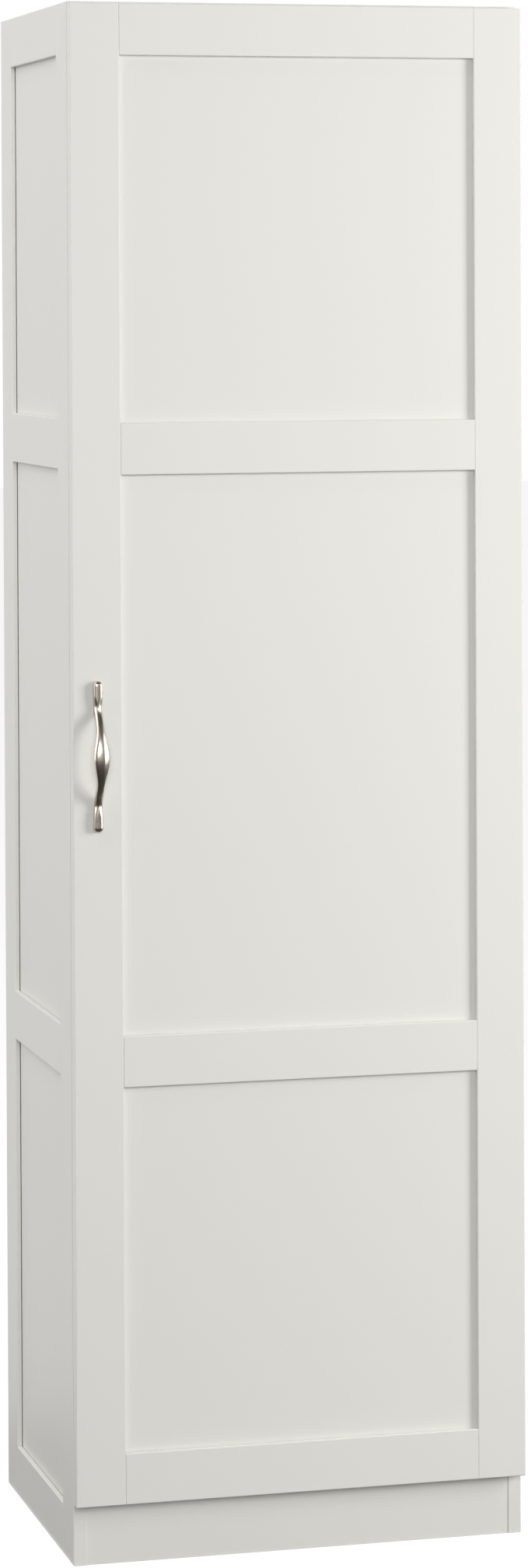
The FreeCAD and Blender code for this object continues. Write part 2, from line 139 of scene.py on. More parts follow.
# Fine relief of a coating: small even cells of noise, as bumps of a given height in metres.
fine_relief, given, handed = start_group(
    "fine relief",
    [("Cells per metre", "NodeSocketFloat", 400.0), ("Height", "NodeSocketFloat", 0.00002)],
    [("Normal", "NodeSocketVector")],
)
place = put(fine_relief, "ShaderNodeTexCoord", {})
cells = put(
    fine_relief, "ShaderNodeTexNoise",
    {"Vector": place.outputs["Object"], "Scale": given["Cells per metre"], "Detail": 2.0},
)
bumps = put(fine_relief, "ShaderNodeBump", {"Height": cells.outputs["Fac"], "Distance": given["Height"]})
fine_relief.links.new(bumps.outputs["Normal"], handed.inputs["Normal"])


def add_drift(tree, shader, colour, per_metre, amount):
    """Feeds a shader's Base Color with a drifting colour, and returns the drift's mask."""
    drift = put(
        tree, "ShaderNodeGroup", {"Colour": colour, "Patches per metre": per_metre, "Amount": amount},
        node_tree=tone_drift,
    )
    tree.links.new(drift.outputs["Colour"], shader.inputs["Base Color"])
    return drift.outputs["Mask"]


def add_relief(tree, shader, per_metre, height):
    """Feeds a shader's Normal with fine relief."""
    relief = put(
        tree, "ShaderNodeGroup", {"Cells per metre": per_metre, "Height": height}, node_tree=fine_relief
    )
    tree.links.new(relief.outputs["Normal"], shader.inputs["Normal"])


def vary_roughness(tree, shader, mask, roughness, change):
    """Lets a mask swing a shader's Roughness about its middle value."""
    swing = put(
        tree, "ShaderNodeMapRange",
        {"Value": mask, "To Min": roughness - change, "To Max": roughness + change},
    )
    tree.links.new(swing.outputs["Result"], shader.inputs["Roughness"])


satin_paint, tree, shader = start_finish("satin_paint_off_white", paint_roughness)
shader.inputs["Specular IOR Level"].default_value = paint_gloss
mask = add_drift(tree, shader, paint_colour, paint_drift_per_metre, paint_drift)
vary_roughness(tree, shader, mask, paint_roughness, paint_sheen_change)
add_relief(tree, shader, peel_cells_per_metre, peel_height)
for side in ("left", "right"):
    dress(satin_paint, *[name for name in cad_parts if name.startswith(side + "_")])

# Dowels
# Beech pegs, glued into round holes, which line up the fixed boards, the kick board, the fixing rail
# and the divider. The pores show as short dark streaks.
beech_colour = (0.56, 0.39, 0.23, 1.0)
pore_colour = (0.38, 0.24, 0.12, 1.0)
pores_per_metre = (120.0, 900.0, 900.0)
pore_start = 0.45
pore_full = 0.65
beech_roughness = 0.6


def mix_colours(tree, share, first, second):
    """A colour that goes from the first to the second with a share from 0 to 1. A Mix node's sockets for
    colours are its inputs 6 and 7 and its output 2."""
    return put(tree, "ShaderNodeMix", {0: share, 6: first, 7: second}, data_type="RGBA").outputs[2]


beech, tree, shader = start_finish("beech", beech_roughness)
place = put(tree, "ShaderNodeTexCoord", {})
drawn_out = put(tree, "ShaderNodeMapping", {"Vector": place.outputs["Object"], "Scale": pores_per_metre})
streaks = put(
    tree, "ShaderNodeTexNoise", {"Vector": drawn_out.outputs["Vector"], "Scale": 1.0, "Detail": 4.0}
)
pores = put(
    tree, "ShaderNodeMapRange",
    {"Value": streaks.outputs["Fac"], "From Min": pore_start, "From Max": pore_full},
)
wood = mix_colours(tree, pores.outputs["Result"], beech_colour, pore_colour)
tree.links.new(wood, shader.inputs["Base Color"])
dress(beech, "dowels")

# Fixed boards, kick board and loose shelves
# Particle board with white foil on its faces and edges. The fixed boards are held by cam locks and
# dowels, the kick board by dowels, and the loose shelves lie on pins. The kick board is painted like
# the sides.
board_colour = (0.83, 0.825, 0.80, 1.0)
board_roughness = 0.38
board_sheen_change = 0.04
foil_cells_per_metre = 1400.0
foil_height = 0.000012
board_drift_per_metre = 5.0
board_drift = 0.02

white_board, tree, shader = start_finish("white_foil_board", board_roughness)
mask = add_drift(tree, shader, board_colour, board_drift_per_metre, board_drift)
vary_roughness(tree, shader, mask, board_roughness, board_sheen_change)
add_relief(tree, shader, foil_cells_per_metre, foil_height)
dress(white_board, "top_board", "bottom_board", "upper_shelf", "divider", "fixing_rail")
dress(white_board, "shelf_lower", "shelf_middle", "shelf_upper")
dress(satin_paint, "kick_board")

# Back board
# One thin sheet of hardboard in rabbets. Its front is lacquered white, and its bare rear shows brown
# fibres and the small squares that the press's wire screen leaves.
lacquer_colour = (0.80, 0.795, 0.77, 1.0)
lacquer_roughness = 0.35
lacquer_depth = 0.0008
fibre_light = (0.36, 0.235, 0.135, 1.0)
fibre_dark = (0.20, 0.115, 0.06, 1.0)
fibre_roughness = 0.78
fibres_per_metre = 260.0
fibre_start = 0.35
fibre_full = 0.68
screen_pitch = 0.0022
screen_height = 0.00012

back_low, back_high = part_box("back_board")
hardboard, tree, shader = start_finish("hardboard_back", fibre_roughness)
place = put(tree, "ShaderNodeTexCoord", {})
where = put(tree, "ShaderNodeSeparateXYZ", {0: place.outputs["Object"]})
lacquered = work_out(tree, "LESS_THAN", where.outputs["Y"], back_low.y + lacquer_depth)
fibres = put(
    tree, "ShaderNodeTexNoise",
    {"Vector": place.outputs["Object"], "Scale": fibres_per_metre, "Detail": 6.0, "Distortion": 2.5},
)
tufts = put(
    tree, "ShaderNodeMapRange",
    {"Value": fibres.outputs["Fac"], "From Min": fibre_start, "From Max": fibre_full},
)
brown = mix_colours(tree, tufts.outputs["Result"], fibre_dark, fibre_light)
faces = mix_colours(tree, lacquered, brown, lacquer_colour)
tree.links.new(faces, shader.inputs["Base Color"])
gloss = put(
    tree, "ShaderNodeMapRange",
    {"Value": lacquered, "To Min": fibre_roughness, "To Max": lacquer_roughness},
)
tree.links.new(gloss.outputs["Result"], shader.inputs["Roughness"])
waves = []
for axis in ("X", "Z"):
    phase = work_out(tree, "MULTIPLY", where.outputs[axis], 2 * math.pi / screen_pitch)
    waves.append(work_out(tree, "SINE", phase))
squares = work_out(tree, "MULTIPLY", waves[0], waves[1])
bare = work_out(tree, "SUBTRACT", 1.0, lacquered)
pressed = work_out(tree, "MULTIPLY", squares, bare)
relief = put(tree, "ShaderNodeBump", {"Height": pressed, "Distance": screen_height})
tree.links.new(relief.outputs["Normal"], shader.inputs["Normal"])
dress(hardboard, "back_board")

# Back nails
# Bright steel nails with low domed heads, driven through the back board into the rear stiles and the
# rear edges of the fixed boards.
steel_colour = (0.66, 0.65, 0.63, 1.0)
steel_roughness = 0.30
steel_roughness_change = 0.10
steel_marks_per_metre = (500.0, 500.0, 500.0)
steel_mark_height = 0.000004
steel_drift = 0.10
metal_patches_per_metre = 90.0
merge_distance = 0.000001
nail_columns = 12
nail_length = 0.018
nail_point = 0.0015
nail_radius = 0.0008
nail_head_radius = 0.0020
nail_head_edge = 0.00025
nail_head_height = 0.0006
nail_dome_radius_share = 0.6
nail_dome_height_share = 0.8
nail_pitch = 0.15
nail_column_end = 0.025
nail_row_end = 0.040


def turned(profile, columns, start, axis):
    """A turned surface. Each profile pair, a distance along the axis and a radius, becomes a ring round
    the axis."""
    along, radius = np.array(profile, float).T
    axis = np.array(axis, float)
    side = np.roll(axis, 1)
    up = np.cross(axis, side)
    turn = np.linspace(0, 2 * np.pi, columns, endpoint=False)[:, None]
    ring = np.cos(turn) * side + np.sin(turn) * up
    return np.array(start) + along[:, None, None] * axis + radius[:, None, None] * ring


def grid_faces(rows, columns, first):
    """Quads between the neighbouring rows of a grid whose columns close into rings, numbered from a first
    point."""
    row, column = np.meshgrid(np.arange(rows - 1), np.arange(columns), indexing="ij")
    beside = (column + 1) % columns
    corners = (row * columns + column, row * columns + beside)
    corners += ((row + 1) * columns + beside, (row + 1) * columns + column)
    return first + np.stack(corners, axis=-1).reshape(-1, 4)


def shell_piece(name, grids, finish, crease=35.0):
    """One object from grids of closed rings, with the points at poles and seams merged and the faces
    turned outwards. Edges sharper than the crease, in degrees, stay sharp."""
    sizes = [grid.shape[0] * grid.shape[1] for grid in grids]
    firsts = np.cumsum([0] + sizes[:-1])
    points = np.concatenate([grid.reshape(-1, 3) for grid in grids])
    quads = np.concatenate([grid_faces(*grid.shape[:2], first) for grid, first in zip(grids, firsts)])
    mesh = bpy.data.meshes.new(name)
    mesh.from_pydata(points.tolist(), [], quads.tolist())
    work = bmesh.new()
    work.from_mesh(mesh)
    bmesh.ops.remove_doubles(work, verts=work.verts, dist=merge_distance)
    bmesh.ops.recalc_face_normals(work, faces=work.faces)
    work.to_mesh(mesh)
    work.free()
    mesh.shade_smooth()
    mesh.set_sharp_from_angle(angle=math.radians(crease))
    mesh.materials.append(finish)
    piece = bpy.data.objects.new(name, mesh)
    bpy.context.scene.collection.objects.link(piece)
    return piece


def evenly(low, high, pitch):
    """Places from low to high, evenly spaced at about a pitch."""
    return np.linspace(low, high, round((high - low) / pitch) + 1)


# Worked metal: tone and roughness drift in patches, under marks that are fine bumps of noise.
worked_metal, given, handed = start_group(
    "worked metal",
    [
        ("Colour", "NodeSocketColor", (0.6, 0.6, 0.6, 1.0)),
        ("Drift", "NodeSocketFloat", 0.1),
        ("Roughness", "NodeSocketFloat", 0.3),
        ("Roughness change", "NodeSocketFloat", 0.1),
        ("Marks per metre", "NodeSocketVector", (500.0, 500.0, 500.0)),
        ("Mark height", "NodeSocketFloat", 0.00001),
    ],
    [("Colour", "NodeSocketColor"), ("Roughness", "NodeSocketFloat"), ("Normal", "NodeSocketVector")],
)
place = put(worked_metal, "ShaderNodeTexCoord", {})
spread_out = put(
    worked_metal, "ShaderNodeVectorMath", {0: place.outputs["Object"], 1: given["Marks per metre"]},
    operation="MULTIPLY",
)
marks = put(
    worked_metal, "ShaderNodeTexNoise", {"Vector": spread_out.outputs[0], "Scale": 1.0, "Detail": 4.0}
)
patch = put(
    worked_metal, "ShaderNodeGroup",
    {"Colour": given["Colour"], "Patches per metre": metal_patches_per_metre, "Amount": given["Drift"]},
    node_tree=tone_drift,
)
both = work_out(worked_metal, "ADD", marks.outputs["Fac"], patch.outputs["Mask"])
centred = work_out(worked_metal, "SUBTRACT", both, 1.0)
change = work_out(worked_metal, "MULTIPLY", centred, given["Roughness change"])
rough = work_out(worked_metal, "ADD", change, given["Roughness"])
bumps = put(
    worked_metal, "ShaderNodeBump",
    {"Height": marks.outputs["Fac"], "Distance": given["Mark height"]},
)
worked_metal.links.new(patch.outputs["Colour"], handed.inputs["Colour"])
worked_metal.links.new(rough, handed.inputs["Roughness"])
worked_metal.links.new(bumps.outputs["Normal"], handed.inputs["Normal"])


def metal_finish(name, colour, drift, roughness, roughness_change, marks_per_metre, mark_height):
    """A metal material whose colour, roughness and fine marks come from the worked metal group."""
    finish, tree, shader = start_finish(name, roughness, 1.0)
    worked = put(
        tree, "ShaderNodeGroup",
        {
            "Colour": colour, "Drift": drift,
            "Roughness": roughness, "Roughness change": roughness_change,
            "Marks per metre": marks_per_metre, "Mark height": mark_height,
        },
        node_tree=worked_metal,
    )
    tree.links.new(worked.outputs["Colour"], shader.inputs["Base Color"])
    tree.links.new(worked.outputs["Roughness"], shader.inputs["Roughness"])
    tree.links.new(worked.outputs["Normal"], shader.inputs["Normal"])
    return finish


plated_steel = metal_finish(
    "plated_steel", steel_colour, steel_drift, steel_roughness, steel_roughness_change,
    steel_marks_per_metre, steel_mark_height,
)
nail_profile = (
    (-nail_length, 0.0),
    (nail_point - nail_length, nail_radius),
    (0.0, nail_radius),
    (0.0, nail_head_radius),
    (nail_head_edge, nail_head_radius),
    (nail_dome_height_share * nail_head_height, nail_dome_radius_share * nail_head_radius),
    (nail_head_height, 0.0),
)
top_low, top_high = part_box("top_board")
nail_x = (top_high.x + back_high.x) / 2
nail_spots = []
for level in evenly(back_low.z + nail_column_end, back_high.z - nail_column_end, nail_pitch):
    nail_spots += [(-nail_x, level), (nail_x, level)]
for board in ("bottom_board", "upper_shelf", "top_board"):
    low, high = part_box(board)
    for x in evenly(low.x + nail_row_end, high.x - nail_row_end, nail_pitch):
        nail_spots.append((x, (low.z + high.z) / 2))
nails = shell_piece(
    "back_nails_domed",
    [turned(nail_profile, nail_columns, (x, back_high.y, z), (0, 1, 0)) for x, z in nail_spots],
    plated_steel,
)
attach(nails, "carcass")
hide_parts("back_nails")

# Cam locks and their bolts
# Die-cast zinc drums in blind holes under each fixed board's ends, turned with a cross driver to pull
# the heads of the steel bolts that are screwed into the stiles.
zinc_colour = (0.50, 0.50, 0.49, 1.0)
zinc_roughness = 0.42
zinc_roughness_change = 0.16
zinc_grains_per_metre = (1500.0, 1500.0, 1500.0)
zinc_grain_height = 0.000025
cam_radius = 0.0075
cam_height = 0.012
cam_face_drop = 0.0003
cam_crown = 0.0003
cam_slot_half_width = 0.0013
cam_slot_reach = 0.0052
cam_slot_depth = 0.0026
cam_distance = 0.024
fitting_row = 0.024
recess_floor_share = 0.6
recess_wall_share = 0.98
slot_end_share = 1.04
slot_floor_share = 0.85
rim_start_share = 0.93
rim_drop_share = 0.07


def cross_head(start, outward, radius, height, crown, slot_half_width, slot_reach, slot_depth):
    """A round head with a cross recess, its rings running from the crown's middle to the rim and down to
    the seat. The crown falls with the square of the radius. In each quarter turn the columns follow the
    edges of a slot, which lie at a constant distance from its middle line, and the points between them
    drop to the slot's floor."""
    corner = math.sqrt(2) * slot_half_width
    radii = np.array([
        0, recess_floor_share * corner, recess_wall_share * corner, corner,
        slot_reach, slot_end_share * slot_reach, rim_start_share * radius, radius,
    ])
    tops = height - crown * (radii / radius) ** 2
    tops[-1] -= rim_drop_share * radius
    ratio = slot_half_width / np.maximum(radii, merge_distance)
    outer = np.arcsin(np.minimum(ratio, math.sqrt(0.5)))
    inner = np.arcsin(np.minimum(slot_floor_share * ratio, math.sqrt(0.5)))
    corner_turn = np.full_like(radii, math.pi / 4)
    quarter = np.stack((-corner_turn, -outer, -inner, 0 * inner, inner, outer), axis=-1)
    in_slot = radii <= slot_reach
    in_middle = radii < corner
    sunk = np.stack((in_middle, in_middle, in_slot, in_slot, in_slot, in_middle), axis=-1)
    turns = np.concatenate([quarter + step * math.pi / 2 for step in range(4)], axis=1)
    lifts = tops[:, None] - slot_depth * np.tile(sunk, (1, 4))
    reaches = np.repeat(radii[:, None], turns.shape[1], axis=1)
    seat_turns = np.repeat(turns[-1:], 2, axis=0)
    seat_reaches = np.repeat(np.array([[radius], [0.0]]), turns.shape[1], axis=1)
    turns = np.concatenate((turns, seat_turns))[:, :, None]
    lifts = np.concatenate((lifts, np.zeros_like(seat_reaches)))[:, :, None]
    reaches = np.concatenate((reaches, seat_reaches))[:, :, None]
    axis = np.array(outward, float)
    side = np.roll(axis, 1)
    up = np.cross(axis, side)
    return np.array(start) + lifts * axis + reaches * (np.cos(turns) * side + np.sin(turns) * up)


cast_zinc = metal_finish(
    "cast_zinc", zinc_colour, steel_drift, zinc_roughness, zinc_roughness_change,
    zinc_grains_per_metre, zinc_grain_height,
)
front_stile_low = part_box("left_front_stile")[0]
rear_stile_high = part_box("left_rear_stile")[1]
cam_x = top_high.x - cam_distance
cam_rows = (front_stile_low.y + fitting_row, rear_stile_high.y - fitting_row)
cam_grids = []
for board in ("bottom_board", "upper_shelf", "top_board"):
    board_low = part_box(board)[0]
    for x in (-cam_x, cam_x):
        for y in cam_rows:
            cam_grids.append(cross_head(
                (x, y, board_low.z + cam_height), (0, 0, -1), cam_radius,
                cam_height - cam_face_drop, cam_crown,
                cam_slot_half_width, cam_slot_reach, cam_slot_depth,
            ))
cams = shell_piece("cam_locks_crossed", cam_grids, cast_zinc)
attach(cams, "carcass")
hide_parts("cam_locks")
dress(plated_steel, "cam_bolts")

# Shelf pins
# Plated steel spoons: a round shank pressed into a hole of the row, a small collar against the wall,
# and a flat tab with a rounded end under the shelf.
pin_radius = 0.00245
pin_shank_length = 0.0085
pin_end_start_share = 0.93
pin_end_radius_share = 0.8
pin_collar_radius = 0.0034
pin_collar_length = 0.0008
pin_columns = 20
pin_tab_length = 0.0070
pin_tab_half_width = 0.0040
pin_tab_thickness = 0.0020
pin_tab_bevel = 0.0003
pin_tab_power = 3.5
pin_tab_columns = 48
pin_rest_gap = 0.0001
pin_hole_row = 0.037


def rounded_reach(turns, sides, power):
    """How far a rounded polygon reaches from its middle in each direction. Each side is the turn of its
    normal and its distance. A direction's lean towards a side, over the side's distance, is raised to a
    power, the sides' shares are added, and the root of the sum is inverted."""
    total = 0
    for facing, distance in sides:
        total = total + (np.maximum(np.cos(turns - facing), 0) / distance) ** power
    return total ** (-1 / power)


def rectangle_reach(turns, ahead, behind, half_height, power):
    """A rounded rectangle's reach, from the distances of its sides ahead, behind, and above and below."""
    sides = ((0, ahead), (math.pi, behind), (math.pi / 2, half_height), (-math.pi / 2, half_height))
    return rounded_reach(turns, sides, power)


def pressed_plate(turns, reaches, centre, across, along, thickness, bevel):
    """A flat plate from an outline of reaches about a centre: one face's middle, its edge drawn in by the
    bevel, the full outline at both ends of the edge, the other face's edge and its middle."""
    across = np.array(across, float)
    along = np.array(along, float)
    outline = np.cos(turns)[:, None] * across + np.sin(turns)[:, None] * along
    rows = (
        (0.0, 0 * reaches), (0.0, reaches - bevel), (bevel, reaches),
        (thickness - bevel, reaches), (thickness, reaches - bevel), (thickness, 0 * reaches),
    )
    through = np.cross(across, along)
    middle = np.array(centre)
    return np.stack([middle + lift * through + reach[:, None] * outline for lift, reach in rows])


tab_turns = np.linspace(0, 2 * np.pi, pin_tab_columns, endpoint=False)
tab_reaches = rectangle_reach(
    tab_turns, pin_tab_length / 2, pin_tab_length / 2, pin_tab_half_width, pin_tab_power
)
pin_profile = (
    (pin_shank_length, 0.0),
    (pin_shank_length, pin_end_radius_share * pin_radius),
    (pin_end_start_share * pin_shank_length, pin_radius),
    (0.0, pin_radius),
    (0.0, pin_collar_radius),
    (-pin_collar_length, pin_collar_radius),
    (-pin_collar_length, 0.0),
)
pin_rows = (front_stile_low.y + pin_hole_row, rear_stile_high.y - pin_hole_row)
divider_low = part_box("divider")[0]
pin_grids = []
for shelf in ("shelf_lower", "shelf_middle", "shelf_upper"):
    tab_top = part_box(shelf)[0].z - pin_rest_gap
    tab_low = tab_top - pin_tab_thickness
    for wall, into in ((top_low.x, -1), (divider_low.x, 1)):
        for y in pin_rows:
            shank_start = (wall, y, (tab_top + tab_low) / 2)
            pin_grids.append(turned(pin_profile, pin_columns, shank_start, (into, 0, 0)))
            tab_centre = (wall - into * pin_tab_length / 2, y, tab_low)
            pin_grids.append(pressed_plate(
                tab_turns, tab_reaches, tab_centre, (1, 0, 0), (0, 1, 0),
                pin_tab_thickness, pin_tab_bevel,
            ))
shelf_pins = shell_piece("shelf_pins_spoon", pin_grids, plated_steel)
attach(shelf_pins, "carcass")
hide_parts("shelf_pins")

# Hinge plates
# Pressed steel plates on the right side, each with two wings for its screws and a strip that carries
# the arm.
hinge_count = 4
wing_half_width = 0.007
wing_half_height = 0.021
wing_row = 0.037
strip_half_height = 0.006
plate_power = 16.0
plate_bevel = 0.0004
plate_columns = 120

plates_low, plates_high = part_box("hinge_plates")
hinge_levels = np.linspace(plates_low.z + wing_half_height, plates_high.z - wing_half_height, hinge_count)
wing_y = front_stile_low.y + wing_row
plate_turns = np.linspace(0, 2 * np.pi, plate_columns, endpoint=False)
wing_reaches = rectangle_reach(
    plate_turns, wing_half_width, wing_half_width, wing_half_height, plate_power
)
strip_reaches = rectangle_reach(
    plate_turns, plates_high.y - wing_y, wing_y - plates_low.y, strip_half_height, plate_power
)
plate_grids = []
for level in hinge_levels:
    plate_grids.append(pressed_plate(
        plate_turns, np.maximum(wing_reaches, strip_reaches), (plates_low.x, wing_y, level),
        (0, 1, 0), (0, 0, 1), plates_high.x - plates_low.x, plate_bevel,
    ))
hinge_plates = shell_piece("hinge_plates_pressed", plate_grids, plated_steel)
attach(hinge_plates, "carcass")
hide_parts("hinge_plates")

# Hinge arms
# Steel strips with their long edges raised into ribs. Each is screwed to its plate, runs forward into
# the cup, bends across it and ends in an eye round the hinge pin.
arm_thickness = 0.002
rib_height = 0.0022
rib_width = 0.0012
rib_front = 0.005
rib_rear = 0.0012
rib_run = 0.009
bend_radius = 0.0022
eye_radius = 0.0019
eye_bore = 0.00105
eye_columns = 24
arm_leg_rows = 40
arm_bend_rows = 9
arm_edge_round = 0.00035
arm_edge_angle = math.radians(50)

arms_low, arms_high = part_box("hinge_arms")
pins_low, pins_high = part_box("hinge_pins")
pin_x = (pins_low.x + pins_high.x) / 2
pin_y = (pins_low.y + pins_high.y) / 2
carcass_front = front_stile_low.y


def soft_step(start, end, place):
    """A step from 0 to 1 between two places, level at both: three squares of the share less two cubes."""
    share = np.clip((place - start) / (end - start), 0, 1)
    return share * share * (3 - 2 * share)


def ribbed_arm(level):
    """The arm as a strip's section carried along a path: forward beside the plate, round a quarter bend in
    the cup, and across to the pin. The section's outline is a flat bar, and the rib height is added to its
    outer points."""
    leg_y = np.linspace(arms_high.y, pin_y + bend_radius, arm_leg_rows)
    leg_x = np.full_like(leg_y, arms_low.x + arm_thickness / 2)
    bend_turn = np.linspace(math.pi, 1.5 * math.pi, arm_bend_rows)[1:]
    bend_x = leg_x[0] + bend_radius * (1 + np.cos(bend_turn))
    bend_y = pin_y + bend_radius * (1 + np.sin(bend_turn))
    path_x = np.concatenate((leg_x[:1], leg_x, bend_x, (pin_x, pin_x)))
    path_y = np.concatenate((leg_y[:1], leg_y, bend_y, (pin_y, pin_y)))
    lean = np.concatenate((np.full(leg_y.size + 1, math.pi), bend_turn, np.full(2, 1.5 * math.pi)))
    size = np.ones_like(path_x)
    size[[0, -1]] = 0
    rise = soft_step(carcass_front + rib_front, carcass_front + rib_front + rib_run, path_y)
    fall = 1 - soft_step(arms_high.y - rib_rear - rib_run, arms_high.y - rib_rear, path_y)
    half = arm_thickness / 2
    edge = strip_half_height
    inner = edge - rib_width
    across = np.array((-edge, -edge, -inner, -inner, inner, inner, edge, edge))
    thick = np.array((-half, half, half, half, half, half, half, -half))
    ribbed = np.array((0, 1, 1, 0, 0, 1, 1, 0))
    through = (thick + rib_height * (rise * fall)[:, None] * ribbed) * size[:, None]
    x = path_x[:, None] + through * np.cos(lean)[:, None]
    y = path_y[:, None] + through * np.sin(lean)[:, None]
    z = level + across * size[:, None]
    return np.stack((x, y, z), axis=-1)


eye_profile = (
    (-strip_half_height, eye_bore), (-strip_half_height, eye_radius), (strip_half_height, eye_radius),
    (strip_half_height, eye_bore), (-strip_half_height, eye_bore),
)
arm_grids = []
for level in hinge_levels:
    arm_grids.append(ribbed_arm(level))
    arm_grids.append(turned(eye_profile, eye_columns, (pin_x, pin_y, level), (0, 0, 1)))
hinge_arms = shell_piece("hinge_arms_ribbed", arm_grids, plated_steel)
rounding = hinge_arms.modifiers.new("rounded edges", "BEVEL")
rounding.width = arm_edge_round
rounding.segments = 2
rounding.limit_method = "ANGLE"
rounding.angle_limit = arm_edge_angle
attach(hinge_arms, "carcass")
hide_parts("hinge_arms")

# Hinge cups and pins
# Deep drawn steel cups, pressed into round seats in the door's hinge stile, each with a flange on the
# door's back that takes two screws. A steel pin across the cup carries the arm's eye.
cup_radius = 0.0175
cup_wall = 0.0008
cup_rim_lift = 0.0004
cup_rim_outer_round = 0.0003
cup_rim_inner_round = 0.0002
cup_mouth_round = 0.0003
cup_floor_round = 0.0016
cup_floor_cut = 0.0005
cup_hollow_rise = 0.0012
cup_hollow_cut = 0.0004
cup_columns = 64
flange_thickness = 0.001
flange_half_height = 0.029
flange_reach = 0.019
flange_corner_power = 16.0
flange_edge = 0.0003
flange_gap_turn = math.radians(5.5)
flange_rows = 60

cups_low, cups_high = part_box("hinge_cups")
cup_x = cups_high.x - cup_radius
door_back = cups_high.y - flange_thickness
cup_depth = door_back - cups_low.y
cup_hollow = cup_radius - cup_wall
cup_rim = cup_depth + cup_rim_lift
cup_profile = (
    (0.0, 0.0),
    (0.0, cup_radius - cup_floor_round),
    (cup_floor_cut, cup_radius - cup_floor_cut),
    (cup_floor_round, cup_radius),
    (cup_depth, cup_radius),
    (cup_rim, cup_radius - cup_rim_outer_round),
    (cup_rim, cup_hollow + cup_rim_inner_round),
    (cup_depth - cup_mouth_round, cup_hollow),
    (cup_wall + cup_hollow_rise, cup_hollow),
    (cup_wall + cup_hollow_cut, cup_hollow - cup_floor_cut),
    (cup_wall, cup_hollow - cup_floor_round),
    (cup_wall, 0.0),
)


def cup_flange(level):
    """The flange as a thin section carried round the cup's open side: it reaches from the cup's mouth to a
    rounded rectangle, and closes to a point at both ends."""
    turns = np.linspace(math.pi / 2 + flange_gap_turn, 1.5 * math.pi - flange_gap_turn, flange_rows)
    sides = (
        (math.pi, flange_reach), (math.pi / 2, flange_half_height), (1.5 * math.pi, flange_half_height),
    )
    outer = rounded_reach(turns, sides, flange_corner_power)
    inner = np.full_like(turns, cup_hollow)
    reach = np.stack((inner, inner, inner + flange_edge, outer - flange_edge, outer, outer), axis=-1)
    lifts = np.array((0, flange_thickness - flange_edge, flange_thickness))
    lift = np.tile(np.concatenate((lifts, lifts[::-1])), (flange_rows, 1))
    columns = reach.shape[1]
    middle_reach = np.repeat(reach.mean(axis=1, keepdims=True), columns, axis=1)
    middle_lift = np.full((1, columns), flange_thickness / 2)
    reach = np.concatenate((middle_reach[:1], reach, middle_reach[-1:]))
    lift = np.concatenate((middle_lift, lift, middle_lift))
    turns = np.concatenate((turns[:1], turns, turns[-1:]))[:, None]
    x = cup_x + reach * np.cos(turns)
    z = level + reach * np.sin(turns)
    return np.stack((x, door_back + lift, z), axis=-1)


cup_grids = []
for level in hinge_levels:
    cup_grids.append(turned(cup_profile, cup_columns, (cup_x, cups_low.y, level), (0, 1, 0)))
    cup_grids.append(cup_flange(level))
hinge_cups = shell_piece("hinge_cups_drawn", cup_grids, plated_steel)
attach(hinge_cups, "door")
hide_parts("hinge_cups")
dress(plated_steel, "hinge_pins")

# Hinge screws
# Plated steel screws with domed cross heads: two through each cup's flange, two through each plate's
# wings, and one that clamps the arm to its plate.
screw_head_radius = 0.0035
screw_head_height = 0.0012
screw_crown = 0.0005
screw_slot_half_width = 0.00045
screw_slot_reach = 0.0021
screw_slot_depth = 0.0008
screw_radius = 0.00175
screw_point = 0.0025
screw_columns = 16
cup_screw_offset = 0.0095
cup_screw_half_spacing = 0.0225
plate_screw_half_spacing = 0.016
arm_screw_row = 0.053


def cross_screw(seat, outward, head_radius, head_height, shank_radius, shank_length):
    """A screw as two surfaces: its head, with a recess in proportion to its radius, and its pointed
    shank."""
    share = head_radius / screw_head_radius
    head = cross_head(
        seat, outward, head_radius, head_height, screw_crown * share,
        screw_slot_half_width * share, screw_slot_reach * share, screw_slot_depth * share,
    )
    shank_profile = (
        (0.0, 0.0), (0.0, shank_radius), (screw_point - shank_length, shank_radius), (-shank_length, 0.0),
    )
    return [head, turned(shank_profile, screw_columns, seat, outward)]


def hinge_screw_piece(node, body, seats, outward):
    """All the screws of one node as one piece, their length taken from the node's box along the screws'
    axis."""
    axis = [abs(part) for part in outward].index(1)
    low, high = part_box(node)
    shank_length = high[axis] - low[axis] - screw_head_height
    grids = []
    for seat in seats:
        grids += cross_screw(
            seat, outward, screw_head_radius, screw_head_height, screw_radius, shank_length
        )
    piece = shell_piece(node + "_crossed", grids, plated_steel)
    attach(piece, body)
    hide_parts(node)


cup_seats = []
plate_seats = []
arm_seats = []
for level in hinge_levels:
    for step in (-1, 1):
        cup_seats.append((cup_x - cup_screw_offset, cups_high.y, level + step * cup_screw_half_spacing))
        plate_seats.append((plates_low.x, wing_y, level + step * plate_screw_half_spacing))
    arm_seats.append((arms_low.x, carcass_front + arm_screw_row, level))
hinge_screw_piece("hinge_cup_screws", "door", cup_seats, (0, 1, 0))
hinge_screw_piece("hinge_plate_screws", "carcass", plate_seats, (-1, 0, 0))
hinge_screw_piece("hinge_arm_screws", "carcass", arm_seats, (-1, 0, 0))

# Door
# One frame-and-panel leaf, made and painted like the sides, hung on the right.
door_wood = [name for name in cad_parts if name.startswith("door_") and name != "door_bumpers"]
dress(satin_paint, *door_wood)

# Door bumpers
# Two soft, slightly cloudy plastic domes, stuck to the left side's front edge where the door comes to
# rest.
bumper_colour = (0.62, 0.62, 0.60, 1.0)
bumper_roughness = 0.45
bumper_sheen_change = 0.08
bumper_drift_per_metre = 400.0
bumper_drift = 0.08
bumper_rim_share = 0.35
bumper_dome_rows = 8
bumper_columns = 28

